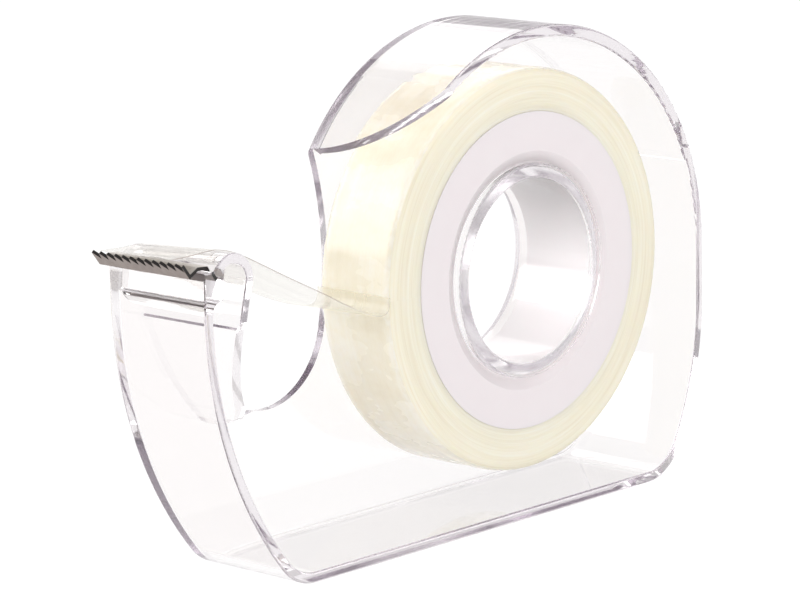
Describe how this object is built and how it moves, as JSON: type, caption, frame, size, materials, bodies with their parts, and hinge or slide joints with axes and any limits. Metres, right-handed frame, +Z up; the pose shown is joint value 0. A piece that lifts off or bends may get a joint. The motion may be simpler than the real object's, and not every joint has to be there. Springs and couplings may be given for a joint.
{
  "type": "tape dispenser",
  "caption": "Hand-held tape dispenser: clear one-piece moulding with a fixed hub, a toothed steel cutter, and a roll of tape on a core with its free end stuck on the cutter post.",
  "frame": {"origin": "centre of the footprint of the whole object, on the surface it stands on", "axes": "+X from the cutter to the back, +Y towards the closed side wall and along the hub axis, +Z up"},
  "size_m": [0.0917, 0.0162, 0.0611],
  "materials": {
    "clear_plastic": "clear, polished mould finish",
    "cutter_steel": "dark stamped steel",
    "core_plastic": "pale pinkish white, satin",
    "wound_tape": "cream from many clear turns, soft gloss",
    "tape_film": "clear single layer of tape"
  },
  "bodies": {
    "dispenser": {"dispenser_body": "clear_plastic", "cutter_blade": "cutter_steel"},
    "tape_roll": {"tape_core": "core_plastic", "tape_winding": "wound_tape"},
    "tape_end": {"tape_leader": "tape_film"}
  },
  "joints": [
    {"name": "roll_spin", "type": "hinge", "parent": "dispenser", "child": "tape_roll", "pos_m": [0.01515, 0.00075, 0.0304], "axis": [0, 1, 0], "continuous": true},
    {"name": "tape_end_lift", "type": "hinge", "parent": "dispenser", "child": "tape_end", "pos_m": [-0.01132, 0.00075, 0.0304], "axis": [0, 1, 0], "range_deg": [0, 45]}
  ]
}
